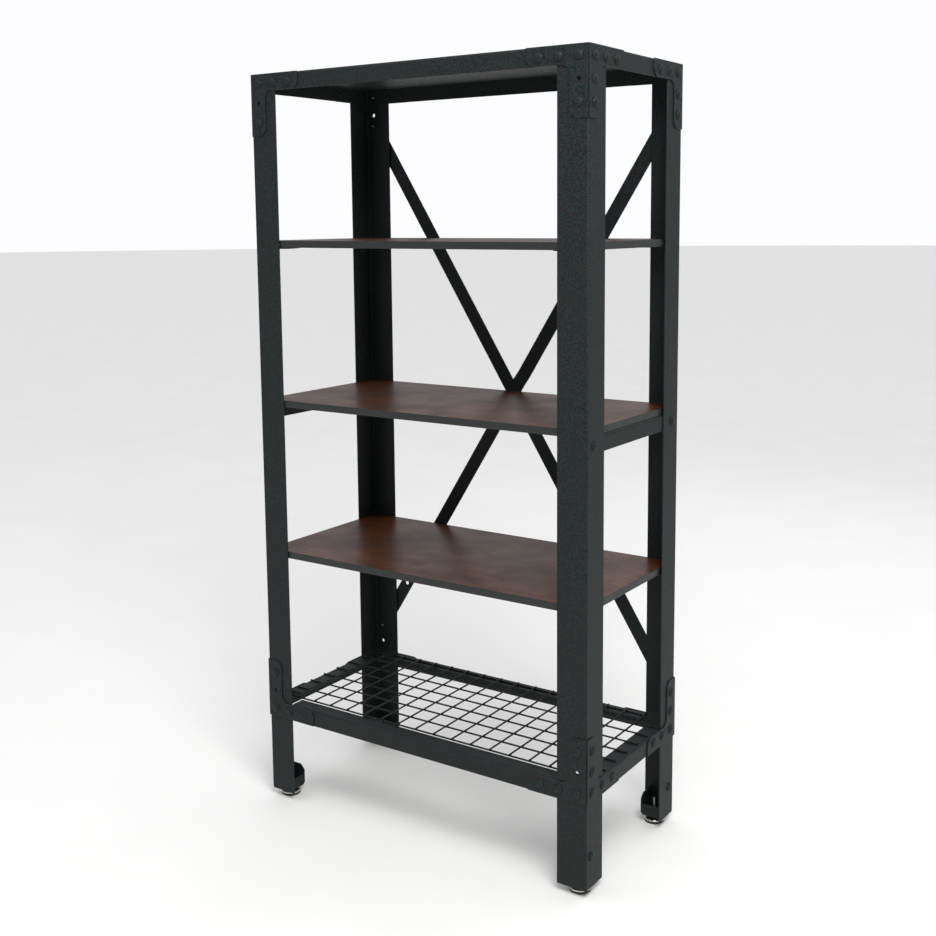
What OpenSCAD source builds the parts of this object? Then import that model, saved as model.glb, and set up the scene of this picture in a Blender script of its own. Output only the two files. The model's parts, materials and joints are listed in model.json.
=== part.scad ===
// Angle-iron bookcase: four corner posts, riveted corner plates, a wire bottom shelf,
// a fixed middle board on rails and two boards that lift off their clips.
// X is the width, Y runs from front to back, Z is up. The floor is z = 0 and the
// origin is the middle of the footprint.

/* [Frame] */
// Width over the posts, left to right
frame_w = 880; // [620:1:1200]
// Depth over the posts, front to back
frame_d = 420; // [340:1:620]
// Length of each corner post
post_h = 1720; // [1430:1:2300]
// Width of each leg of a post's angle section
post_leg = 70; // [58:1:90]
// Thickness of the post steel
post_t = 3; // [2:0.5:4]

/* [Rails] */
// Width of each leg of a rail's angle section
rail_leg = 38; // [36:1:46]
// Thickness of the rail steel
rail_t = 3; // [2:0.5:4]
// Height of the bottom rails' top face above the lower ends of the posts
bottom_rail_rise = 227; // [180:1:280]
// Thickness of the top panel's sheet
panel_t = 2; // [1:0.5:3]
// Clearance round boards, panel and rails inside the posts, front and back
fit_gap = 1; // [0.5:0.5:2]

/* [Corner plates] */
// Length of each arm of a corner plate
plate_arm = 140; // [125:1:170]
// Width of a corner plate's upright arm
plate_w = 41; // [34:1:50]
// Thickness of a corner plate
plate_t = 3; // [2:0.5:4]
// Radius inside the bend of a corner plate
plate_fillet_r = 18; // [6:1:22]
// Radius on the inner corner of each arm's end
plate_end_r = 20; // [6:1:30]
// Distance of the rivet lines from the plate's outer edges
rivet_inset = 21; // [16:0.5:22]
// Distance from one rivet to the next
rivet_pitch = 44.5; // [37:0.5:54]
// Radius of the open fixing hole in each front and rear plate
open_hole_r = 5; // [4:0.5:6]

/* [Rivets and bolts] */
// Diameter of a domed rivet head
head_d = 21; // [17:0.5:25]
// Height of a domed rivet head
head_h = 5; // [4:0.5:6]
// Radius of a rivet's or bolt's shank
shank_r = 3.2; // [2.6:0.1:4]
// Clearance round a shank, on the radius
shank_gap = 0.1; // [0.05:0.05:0.2]
// Radius of the end that closes a rivet on the inside
tail_r = 6; // [5:0.5:7]
// Height of the end that closes a rivet on the inside
tail_h = 2.5; // [2:0.5:3]
// Height of a brace bolt's flat head
brace_head_h = 2; // [1.5:0.5:3]

/* [Shelf boards] */
// Thickness of a shelf board
board_t = 16; // [12:1:22]
// Clearance between a board's ends and the post flanges
board_end_gap = 4; // [2:0.5:6]
// Top of the upper shelf below the upper ends of the posts
upper_shelf_drop = 378; // [360:1:470]
// Top of the middle shelf above the lower ends of the posts
middle_shelf_rise = 969.5; // [860:0.5:1100]
// Top of the lower shelf above the lower ends of the posts
lower_shelf_rise = 606; // [520:1:720]
// Height of the rails that carry the middle shelf
shelf_rail_h = 35; // [28:1:42]
// Distance of a shelf rail's bolts from the front and rear faces
shelf_bolt_inset = 28; // [24:1:40]

/* [Shelf clips] */
// Length of a clip's arm under the board
clip_arm = 90; // [40:1:110]
// Width of a clip
clip_w = 24; // [20:1:32]
// Thickness of a clip's steel
clip_t = 3; // [2:0.5:4]
// Height of the clip's plate behind the arm
clip_h = 25; // [20:1:32]
// Thickness of the arm's tapered tip
clip_tip_t = 1.5; // [1:0.5:2]
// Length of the arm's taper
clip_taper = 23; // [10:1:30]
// Radius of a clip's pin
pin_r = 3; // [2.5:0.5:4]
// Depth of the blind hole that takes the pin
pin_depth = 2; // [1:0.5:2.5]
// Distance of a clip's middle from the front or rear face
clip_inset = 35; // [28:1:42]
// Gap between a clip and what it moves against
clip_gap = 0.3; // [0.3:0.1:0.5]

/* [Wire shelf] */
// Diameter of the wire
wire_d = 4; // [3:0.5:5]
// Distance from one wire to the next
wire_pitch = 50.8; // [40:0.1:61]
// Distance from the front rail's flange to the first long wire's middle
wire_front_gap = 4; // [3:0.5:8]
// Length of the cross wires' ends beyond the outermost long wires
wire_overhang = 5; // [4:1:12]

/* [Cross braces] */
// How far the upper bolts sit above the end holes of the front plates
brace_end_lift = 18; // [0:1:20]
// Width of a brace bar
brace_w = 34; // [28:1:42]
// Thickness of a brace bar
brace_t = 3; // [2:0.5:3]
// Length of the cranked stretch where the braces cross
crank_l = 70; // [60:1:120]
// Length of the slope on each side of the crank
crank_slope = 20; // [12:1:30]
// Radius of the hanging hole in the cranked brace
hanging_hole_r = 5.5; // [4:0.5:7]
// Distance of the hanging hole from the brace's lower bolt
hanging_hole_end = 152; // [120:1:200]

/* [Feet] */
// Distance of a foot's middle from the posts' outer faces
foot_inset = 31.5; // [28:0.5:35]
// Height of the posts' lower ends above the floor
foot_rise = 18; // [15:0.5:22]
// Diameter of a foot's pad
pad_d = 48; // [36:1:54]
// Height of the pad's plastic base
pad_base_h = 8; // [6:0.5:9]
// Height of the metal cup on the pad
pad_cup_h = 5; // [4:0.5:6]
// Radius of the stud
stud_r = 4; // [3:0.5:5]
// Length of the stud above the cup
stud_l = 44; // [36:1:52]
// Running clearance round the stud, on the radius
stud_gap = 0.05; // [0.02:0.01:0.1]
// Width of the weld nut across its flats
nut_w = 13; // [12:0.5:16]
// Height of the weld nut
nut_h = 6.5; // [5:0.5:8]
// Width of a foot bracket, from the posts' outer faces
bracket_w = 55.5; // [50:0.5:58]
// Thickness of a foot bracket's steel
bracket_t = 3; // [2:0.5:4]
// Height of a bracket's low wall
low_wall_h = 27; // [22:1:33]
// Height of a bracket's tall wall
tall_wall_h = 50; // [41:1:60]
// Height of the bracket's rivet above the lower end of the post
bracket_rivet_rise = 69; // [62:1:83]
// Length of the bracket's tab above its rivet
bracket_tab_end = 13; // [10:1:16]
// Width of the bracket's tab
bracket_tab_w = 36; // [30:1:44]
// Chamfer at the top of the tall wall's free corner
tall_wall_chamfer = 12; // [6:1:16]
// Chamfer at the bracket's other free corners
bracket_chamfer = 6; // [3:1:8]

/* [Hidden] */
$fn = 96;
eps = 1;

// Outer faces, inner faces and the edges of the post legs, measured from the middle
face_x = frame_w / 2;
face_y = frame_d / 2;
in_x = face_x - post_t;
in_y = face_y - post_t;
leg_x = face_x - post_leg;
leg_y = face_y - post_leg;

post_z = foot_rise;
top_z = post_z + post_h;
bottom_rail_top = post_z + bottom_rail_rise;
bottom_rail_z = bottom_rail_top - rail_leg;

// Rivet places on a corner plate: along the rail, and up or down the post
end_reach = rivet_inset + 2 * rivet_pitch;
along_spots = [for (i = [0:2]) [rivet_inset + i * rivet_pitch, rivet_inset]];
hole_spot = [rivet_inset, rivet_inset + rivet_pitch];
brace_reach = end_reach - brace_end_lift;
dome_r = (pow(head_d / 2, 2) + pow(head_h, 2)) / (2 * head_h);

board_x = in_x - board_end_gap;
board_y = in_y - fit_gap;
upper_shelf_z = top_z - upper_shelf_drop - board_t;
middle_shelf_z = post_z + middle_shelf_rise - board_t;
lower_shelf_z = post_z + lower_shelf_rise - board_t;
shelf_bolt_z = middle_shelf_z - shelf_rail_h / 2;

clip_y = face_y - clip_inset;
pin_drop = clip_gap + (clip_t + clip_h) / 2;

// Wires: the long ones start behind the front rail, the cross ones lie on top of them
first_wire_y = -face_y + rail_leg + wire_front_gap;
long_wires = floor((in_y - wire_overhang - fit_gap - first_wire_y) / wire_pitch) + 1;
last_wire_y = first_wire_y + (long_wires - 1) * wire_pitch;
cross_wires = 2 * floor((face_x - rail_leg - wire_pitch / 2) / wire_pitch + 1);
long_wire_z = bottom_rail_top + wire_d / 2;
cross_wire_z = long_wire_z + wire_d;

// Brace ends sit on the rear plates
brace_x = face_x - rivet_inset;
brace_top_z = top_z - brace_reach;
brace_low_z = bottom_rail_z + end_reach;
brace_y = face_y + plate_t;
brace_l = norm([2 * brace_x, brace_top_z - brace_low_z]);
brace_angle = atan2(brace_top_z - brace_low_z, 2 * brace_x);
brace_mid_z = (brace_top_z + brace_low_z) / 2;
hanging_hole_x = hanging_hole_end - brace_l / 2;

foot_x = face_x - foot_inset;
foot_y = face_y - foot_inset;
bracket_rivet_z = post_z + bracket_rivet_rise;

charcoal = "#2f3538";
walnut = "#452618";
nickel = "#b9babb";
black = "#17181a";

// ---- places on the frame ----

// The corner at side sx (-1 left, 1 right) and sy (-1 front, 1 rear)
module at_corner(sx, sy) {
    mirror([sx > 0 ? 1 : 0, 0, 0])
        mirror([0, sy > 0 ? 1 : 0, 0])
            children();
}

// A front or rear face, seen from outside: X runs in from the post's edge, Y runs away
// from the level z (up = 1 upward, -1 downward), Z points out of the face
module on_front(sx, sy, z, up = 1) {
    at_corner(sx, sy)
        translate([-face_x, -face_y, z])
            mirror([0, 0, up < 0 ? 1 : 0])
                rotate([90, 0, 0])
                    children();
}

// The same on a left or right face
module on_side(sx, sy, z, up = 1) {
    at_corner(-sx, sy)
        translate([face_x, -face_y, z])
            mirror([0, 0, up < 0 ? 1 : 0])
                rotate([90, 0, 90])
                    children();
}

// ---- holes ----

module hole(spot, r) {
    translate([spot[0], spot[1], -post_t - rail_t - eps])
        cylinder(r = r, h = post_t + rail_t + plate_t + 2 * eps);
}

// The lowest hole of a top plate: on the rear face it takes a brace's bolt
function top_reach(sy) = sy > 0 ? brace_reach : end_reach;

// The holes behind one corner plate: front and rear faces have one that stays open
module plate_holes(open, reach) {
    for (spot = along_spots)
        hole(spot, shank_r + shank_gap);
    hole(hole_spot, open ? open_hole_r : shank_r + shank_gap);
    hole([rivet_inset, reach], shank_r + shank_gap);
}

// Every plate's holes at the post sx, sy
module corner_holes(sx, sy) {
    on_front(sx, sy, top_z, -1) plate_holes(true, top_reach(sy));
    on_front(sx, sy, bottom_rail_z) plate_holes(true, end_reach);
    on_side(sx, sy, top_z, -1) plate_holes(false, end_reach);
    on_side(sx, sy, bottom_rail_z) plate_holes(false, end_reach);
}

module all_plate_holes() {
    for (sx = [-1, 1], sy = [-1, 1])
        corner_holes(sx, sy);
}

// ---- fasteners ----

// A rivet through a stack of metal: its head sits at z = out, its tail at z = -in
module rivet(out, in) {
    translate([0, 0, out])
        intersection() {
            translate([0, 0, head_h - dome_r]) sphere(dome_r);
            cylinder(r = head_d, h = head_h + eps);
        }
    translate([0, 0, -in]) cylinder(r = shank_r, h = in + out);
    translate([0, 0, -in - tail_h]) cylinder(r = tail_r, h = tail_h);
}

module flat_bolt(out, in) {
    translate([0, 0, out]) cylinder(r = head_d / 2, h = brace_head_h);
    translate([0, 0, -in]) cylinder(r = shank_r, h = in + out);
    translate([0, 0, -in - tail_h]) cylinder(r = tail_r, h = tail_h);
}

module plate_rivets(open, braced) {
    spots = concat(along_spots, open ? [] : [hole_spot], braced ? [] : [[rivet_inset, end_reach]]);
    for (spot = spots)
        translate([spot[0], spot[1], 0]) rivet(plate_t, post_t);
}

module level_rivets(z, up) {
    color(charcoal)
        for (sx = [-1, 1], sy = [-1, 1]) {
            on_front(sx, sy, z, up) plate_rivets(true, sy > 0);
            on_side(sx, sy, z, up) plate_rivets(false, false);
        }
}

module top_plate_rivets() {
    level_rivets(top_z, -1);
}

module bottom_plate_rivets() {
    level_rivets(bottom_rail_z, 1);
}

module middle_shelf_rail_bolts() {
    color(charcoal)
        for (sx = [-1, 1], sy = [-1, 1])
            on_side(sx, sy, shelf_bolt_z)
                translate([shelf_bolt_inset, 0, 0])
                    rivet(0, post_t + rail_t);
}

module foot_bracket_rivets() {
    color(charcoal)
        for (sx = [-1, 1], sy = [-1, 1])
            on_side(sx, sy, bracket_rivet_z)
                translate([rivet_inset, 0, 0])
                    rivet(0, post_t + bracket_t);
}

module cross_brace_bolts() {
    color(charcoal) {
        for (sx = [-1, 1]) {
            on_front(sx, 1, top_z, -1)
                translate([rivet_inset, brace_reach, 0])
                    flat_bolt(plate_t + brace_t, post_t);
            on_front(sx, 1, bottom_rail_z)
                translate([rivet_inset, end_reach, 0])
                    flat_bolt(plate_t + brace_t, post_t);
        }
        translate([0, brace_y, brace_mid_z])
            rotate([-90, 0, 0])
                flat_bolt(brace_t, brace_t);
    }
}

// ---- posts and rails ----

module post(sx, sy) {
    color(charcoal)
        difference() {
            at_corner(sx, sy)
                translate([-face_x, -face_y, post_z])
                    linear_extrude(post_h) {
                        square([post_leg, post_t]);
                        square([post_t, post_leg]);
                    }
            corner_holes(sx, sy);
            on_side(sx, sy, shelf_bolt_z) hole([shelf_bolt_inset, 0], shank_r + shank_gap);
            on_side(sx, sy, bracket_rivet_z) hole([rivet_inset, 0], shank_r + shank_gap);
            for (z = [upper_shelf_z, lower_shelf_z])
                on_side(sx, sy, z - pin_drop)
                    translate([clip_inset, 0, -post_t - eps])
                        cylinder(r = pin_r + stud_gap, h = pin_depth + eps);
        }
}

// An angle rail of length l along X: upright leg at the front, the other leg on top
module angle_rail(l, leg, t) {
    translate([-l / 2, 0, 0]) cube([l, t, leg]);
    translate([-l / 2, 0, leg - t]) cube([l, leg, t]);
}

module rail_front(sy, z) {
    color(charcoal)
        difference() {
            mirror([0, sy > 0 ? 1 : 0, 0])
                translate([0, -face_y, z])
                    angle_rail(2 * leg_x, rail_leg, rail_t);
            all_plate_holes();
        }
}

module rail_side(sx, z) {
    color(charcoal)
        difference() {
            mirror([sx > 0 ? 1 : 0, 0, 0])
                translate([-face_x, 0, z])
                    rotate([0, 0, -90])
                        angle_rail(2 * leg_y, rail_leg, rail_t);
            all_plate_holes();
        }
}

module top_panel() {
    color(charcoal)
        translate([-in_x + fit_gap, -in_y + fit_gap, top_z - rail_t - panel_t])
            cube([2 * (in_x - fit_gap), 2 * (in_y - fit_gap), panel_t]);
}

// ---- corner plates ----

module rounding(r) {
    difference() {
        square(r + eps);
        circle(r);
    }
}

// The arm along the rail is as high as the rail, the other runs along the post
module plate_outline() {
    difference() {
        square([plate_arm, rail_leg]);
        translate([plate_arm - plate_end_r, rail_leg - plate_end_r]) rounding(plate_end_r);
    }
    difference() {
        square([plate_w, plate_arm]);
        translate([plate_w - plate_end_r, plate_arm - plate_end_r]) rounding(plate_end_r);
    }
    translate([plate_w, rail_leg])
        difference() {
            square(plate_fillet_r);
            translate([plate_fillet_r, plate_fillet_r]) circle(plate_fillet_r);
        }
}

module corner_plate(open, reach) {
    color(charcoal)
        difference() {
            linear_extrude(plate_t) plate_outline();
            plate_holes(open, reach);
        }
}

module top_plate_front(sx, sy) {
    on_front(sx, sy, top_z, -1) corner_plate(true, top_reach(sy));
}

module top_plate_side(sx, sy) {
    on_side(sx, sy, top_z, -1) corner_plate(false, end_reach);
}

module bottom_plate_front(sx, sy) {
    on_front(sx, sy, bottom_rail_z) corner_plate(true, end_reach);
}

module bottom_plate_side(sx, sy) {
    on_side(sx, sy, bottom_rail_z) corner_plate(false, end_reach);
}

// ---- shelves ----

module board(z) {
    color(walnut)
        translate([-board_x, -board_y, z])
            cube([2 * board_x, 2 * board_y, board_t]);
}

// The rail stands inside the post flanges and its top leg carries the board
module middle_shelf_rail(sx) {
    color(charcoal)
        difference() {
            mirror([sx > 0 ? 1 : 0, 0, 0])
                translate([-in_x, 0, middle_shelf_z - shelf_rail_h])
                    rotate([0, 0, -90])
                        angle_rail(2 * board_y, shelf_rail_h, rail_t);
            for (sy = [-1, 1])
                on_side(sx, sy, shelf_bolt_z)
                    hole([shelf_bolt_inset, 0], shank_r + shank_gap);
        }
}

// A clip under the board whose underside is at z: its pin sits in the post's side leg
module shelf_clip(sx, sy, z) {
    plate_x = -in_x + clip_gap;
    clip_top = z - clip_gap;
    color(charcoal)
        at_corner(sx, sy) {
            translate([plate_x, -clip_y + clip_w / 2, clip_top])
                rotate([90, 0, 0])
                    linear_extrude(clip_w)
                        polygon([
                            [0, 0],
                            [clip_arm, 0],
                            [clip_arm, -clip_tip_t],
                            [clip_arm - clip_taper, -clip_t],
                            [clip_t, -clip_t],
                            [clip_t, -clip_h],
                            [0, -clip_h]
                        ]);
            translate([-in_x - pin_depth + clip_gap, -clip_y, z - pin_drop])
                rotate([0, 90, 0])
                    cylinder(r = pin_r, h = pin_depth + clip_t / 2);
        }
}

module wire(l) {
    rotate([0, 90, 0]) cylinder(d = wire_d, h = l, center = true);
}

module wire_shelf_long_wires() {
    color(charcoal)
        for (i = [0:long_wires - 1])
            translate([0, first_wire_y + i * wire_pitch, long_wire_z])
                wire(2 * (in_x - fit_gap));
}

module wire_shelf_cross_wires() {
    front_end = first_wire_y - wire_overhang;
    rear_end = last_wire_y + wire_overhang;
    color(charcoal)
        for (i = [0:cross_wires - 1])
            translate([(i - (cross_wires - 1) / 2) * wire_pitch, (front_end + rear_end) / 2, cross_wire_z])
                rotate([0, 0, 90])
                    wire(rear_end - front_end);
}

// ---- cross braces ----

module brace_outline() {
    square([brace_l, brace_w], center = true);
    for (side = [-1, 1])
        translate([side * brace_l / 2, 0])
            circle(d = brace_w);
}

// The side view of a brace: the cranked one steps under the other where they cross
module brace_side_view(step) {
    flat = crank_l / 2;
    ramp = flat + crank_slope;
    end = brace_l / 2 + brace_w / 2 + eps;
    polygon([
        [-end, 0], [-ramp, 0], [-flat, -step], [flat, -step], [ramp, 0], [end, 0],
        [end, brace_t], [ramp, brace_t], [flat, brace_t - step],
        [-flat, brace_t - step], [-ramp, brace_t], [-end, brace_t]
    ]);
}

module brace_hole(x, r, step) {
    translate([x, 0, -step - eps])
        cylinder(r = r, h = brace_t + step + 2 * eps);
}

// A bar from corner to corner on the back: slope is 1 or -1, and holes lie along it
module cross_brace(slope, step, holes = []) {
    color(charcoal)
        translate([0, brace_y, brace_mid_z])
            rotate([0, slope * brace_angle, 0])
                rotate([-90, 0, 0])
                    difference() {
                        intersection() {
                            translate([0, 0, -step - eps])
                                linear_extrude(brace_t + step + 2 * eps)
                                    brace_outline();
                            rotate([90, 0, 0])
                                translate([0, 0, -brace_w])
                                    linear_extrude(2 * brace_w)
                                        brace_side_view(step);
                        }
                        for (x = [-brace_l / 2, 0, brace_l / 2])
                            brace_hole(x, shank_r + shank_gap, step);
                        for (x = holes)
                            brace_hole(x, hanging_hole_r, step);
                    }
}

// ---- feet ----

// A bracket wall as wide as the bracket: X runs to its free edge, Y runs up
module bracket_wall(side, h, top_chamfer) {
    linear_extrude(bracket_t)
        polygon([
            [0, 0],
            [side - bracket_chamfer, 0],
            [side, bracket_chamfer],
            [side, h - top_chamfer],
            [side - top_chamfer, h],
            [0, h]
        ]);
}

// Left brackets have the low wall across X, right brackets have the tall one there
module foot_bracket(sx, sy) {
    tall = [tall_wall_h, tall_wall_chamfer];
    low = [low_wall_h, bracket_chamfer];
    wall_x = sx < 0 ? low : tall;
    wall_y = sx < 0 ? tall : low;
    side = bracket_w - post_t;
    color(charcoal)
        difference() {
            at_corner(sx, sy)
                translate([-in_x, -in_y, post_z]) {
                    linear_extrude(bracket_t)
                        polygon([
                            [0, 0],
                            [side, 0],
                            [side, side - bracket_chamfer],
                            [side - bracket_chamfer, side],
                            [0, side]
                        ]);
                    translate([side - bracket_t, 0, 0])
                        rotate([90, 0, 90])
                            bracket_wall(side, wall_x[0], wall_x[1]);
                    translate([0, side, 0])
                        rotate([90, 0, 0])
                            bracket_wall(side, wall_y[0], wall_y[1]);
                    cube([bracket_t, bracket_tab_w, bracket_rivet_rise + bracket_tab_end]);
                }
            on_side(sx, sy, bracket_rivet_z) hole([rivet_inset, 0], shank_r + shank_gap);
            at_corner(sx, sy)
                translate([-foot_x, -foot_y, post_z - eps])
                    cylinder(r = stud_r + stud_gap, h = bracket_t + 2 * eps);
        }
}

module foot_weld_nuts() {
    color(nickel)
        for (sx = [-1, 1], sy = [-1, 1])
            translate([sx * foot_x, sy * foot_y, post_z + bracket_t])
                difference() {
                    cylinder(d = nut_w / cos(30), h = nut_h, $fn = 6);
                    translate([0, 0, -eps]) cylinder(r = stud_r + stud_gap, h = nut_h + 2 * eps);
                }
}

module foot(sx, sy) {
    translate([sx * foot_x, sy * foot_y, 0]) {
        color(black)
            cylinder(d1 = pad_d - 3, d2 = pad_d, h = pad_base_h);
        color(nickel)
            translate([0, 0, pad_base_h]) {
                cylinder(d1 = pad_d - 1, d2 = pad_d - 9, h = pad_cup_h);
                cylinder(r = stud_r, h = pad_cup_h + stud_l);
            }
    }
}

post(-1, -1);  // post_front_left
post(1, -1);  // post_front_right
post(-1, 1);  // post_rear_left
post(1, 1);  // post_rear_right
rail_front(-1, top_z - rail_leg);  // top_rail_front
rail_front(1, top_z - rail_leg);  // top_rail_rear
rail_side(-1, top_z - rail_leg);  // top_rail_left
rail_side(1, top_z - rail_leg);  // top_rail_right
top_panel();
rail_front(-1, bottom_rail_z);  // bottom_rail_front
rail_front(1, bottom_rail_z);  // bottom_rail_rear
rail_side(-1, bottom_rail_z);  // bottom_rail_left
rail_side(1, bottom_rail_z);  // bottom_rail_right
wire_shelf_long_wires();
wire_shelf_cross_wires();
board(upper_shelf_z);  // upper_shelf
board(middle_shelf_z);  // middle_shelf
board(lower_shelf_z);  // lower_shelf
middle_shelf_rail(-1);  // middle_shelf_rail_left
middle_shelf_rail(1);  // middle_shelf_rail_right
shelf_clip(-1, -1, upper_shelf_z);  // upper_clip_front_left
shelf_clip(1, -1, upper_shelf_z);  // upper_clip_front_right
shelf_clip(-1, 1, upper_shelf_z);  // upper_clip_rear_left
shelf_clip(1, 1, upper_shelf_z);  // upper_clip_rear_right
shelf_clip(-1, -1, lower_shelf_z);  // lower_clip_front_left
shelf_clip(1, -1, lower_shelf_z);  // lower_clip_front_right
shelf_clip(-1, 1, lower_shelf_z);  // lower_clip_rear_left
shelf_clip(1, 1, lower_shelf_z);  // lower_clip_rear_right
top_plate_front(-1, -1);  // top_plate_front_left
top_plate_front(1, -1);  // top_plate_front_right
top_plate_front(-1, 1);  // top_plate_rear_left
top_plate_front(1, 1);  // top_plate_rear_right
top_plate_side(-1, -1);  // top_plate_left_front
top_plate_side(-1, 1);  // top_plate_left_rear
top_plate_side(1, -1);  // top_plate_right_front
top_plate_side(1, 1);  // top_plate_right_rear
bottom_plate_front(-1, -1);  // bottom_plate_front_left
bottom_plate_front(1, -1);  // bottom_plate_front_right
bottom_plate_front(-1, 1);  // bottom_plate_rear_left
bottom_plate_front(1, 1);  // bottom_plate_rear_right
bottom_plate_side(-1, -1);  // bottom_plate_left_front
bottom_plate_side(-1, 1);  // bottom_plate_left_rear
bottom_plate_side(1, -1);  // bottom_plate_right_front
bottom_plate_side(1, 1);  // bottom_plate_right_rear
cross_brace(1, 0);  // cross_brace_straight
cross_brace(-1, brace_t, [hanging_hole_x]);  // cross_brace_cranked
foot_bracket(-1, -1);  // foot_bracket_front_left
foot_bracket(1, -1);  // foot_bracket_front_right
foot_bracket(-1, 1);  // foot_bracket_rear_left
foot_bracket(1, 1);  // foot_bracket_rear_right
foot(-1, -1);  // foot_front_left
foot(1, -1);  // foot_front_right
foot(-1, 1);  // foot_rear_left
foot(1, 1);  // foot_rear_right
foot_weld_nuts();
top_plate_rivets();
bottom_plate_rivets();
middle_shelf_rail_bolts();
foot_bracket_rivets();
cross_brace_bolts();
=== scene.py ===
import json
import math
import bmesh
import bpy
from mathutils import Euler, Matrix, Vector


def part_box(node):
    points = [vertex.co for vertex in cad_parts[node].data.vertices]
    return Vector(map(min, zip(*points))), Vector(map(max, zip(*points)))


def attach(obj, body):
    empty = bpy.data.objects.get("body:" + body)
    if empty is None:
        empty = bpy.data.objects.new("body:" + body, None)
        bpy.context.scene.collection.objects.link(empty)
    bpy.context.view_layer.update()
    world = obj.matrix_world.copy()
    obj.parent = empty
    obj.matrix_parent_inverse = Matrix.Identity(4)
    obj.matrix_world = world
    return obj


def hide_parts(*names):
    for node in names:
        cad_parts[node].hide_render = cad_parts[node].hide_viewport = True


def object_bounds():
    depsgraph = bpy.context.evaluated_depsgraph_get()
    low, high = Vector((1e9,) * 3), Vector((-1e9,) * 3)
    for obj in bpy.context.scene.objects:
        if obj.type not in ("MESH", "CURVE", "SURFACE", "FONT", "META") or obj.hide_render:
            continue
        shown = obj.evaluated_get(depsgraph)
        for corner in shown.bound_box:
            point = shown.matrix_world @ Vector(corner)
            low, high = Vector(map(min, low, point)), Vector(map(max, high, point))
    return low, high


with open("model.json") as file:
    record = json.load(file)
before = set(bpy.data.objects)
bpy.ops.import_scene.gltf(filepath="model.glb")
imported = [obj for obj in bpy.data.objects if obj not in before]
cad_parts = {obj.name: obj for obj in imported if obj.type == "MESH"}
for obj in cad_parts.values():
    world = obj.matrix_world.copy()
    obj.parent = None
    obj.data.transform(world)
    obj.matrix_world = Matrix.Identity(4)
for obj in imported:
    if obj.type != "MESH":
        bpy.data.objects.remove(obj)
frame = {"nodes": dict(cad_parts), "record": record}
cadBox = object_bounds()
mm = 0.001
bodyOf = {}
for body, members in frame["record"]["behaviour"]["bodies"].items():
    for member in members:
        bodyOf[member] = body
sides = {"left": -1, "right": 1}
ends = {"front": -1, "rear": 1}


# sRGB hex to linear colour
def linear(hexText):
    shades = [int(hexText[i:i + 2], 16) / 255 for i in (1, 3, 5)]
    return [s / 12.92 if s <= 0.04045 else ((s + 0.055) / 1.055) ** 2.4 for s in shades] + [1.0]


def addNode(tree, kind, values=None, links=None, **settings):
    node = tree.nodes.new(kind)
    for name, value in settings.items():
        setattr(node, name, value)
    for socket, value in (values or {}).items():
        node.inputs[socket].default_value = value
    for socket, source in (links or {}).items():
        tree.links.new(source, node.inputs[socket])
    return node


def startMaterial(name, **surface):
    material = bpy.data.materials.new(name)
    material.use_nodes = True
    tree = material.node_tree
    tree.nodes.clear()
    shader = addNode(tree, "ShaderNodeBsdfPrincipled", surface)
    addNode(tree, "ShaderNodeOutputMaterial", links={"Surface": shader.outputs[0]})
    place = addNode(tree, "ShaderNodeTexCoord").outputs["Object"]
    return material, tree, shader, place


def perMetre(sizeMm):
    return 1000 / sizeMm


mixFirst, mixSecond, mixResult = 6, 7, 2  # the colour sockets of a Mix node


# Textured powder coat on steel: sprayed dry and baked, so it has a pebbled skin that breaks
# up highlights, with faint teal and brown flecks. The grain is drawn at 3.4 mm, because the
# real 0.6 mm grit is too fine to show.
powderCoat = {
    "dark": "#0a0d0e", "light": "#272d2f", "teal": "#0d2627", "rust": "#2b201c",
    "rubbedDark": "#1a1f21", "rubbedLight": "#363d40", "rubbedSmoother": 0.06,
    "grainMm": 3.4, "fleckMm": 6.0, "cloudMm": 160, "bumpMm": 0.35, "specular": 0.17,
    "roughLow": 0.4, "roughHigh": 0.66,
}


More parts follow.
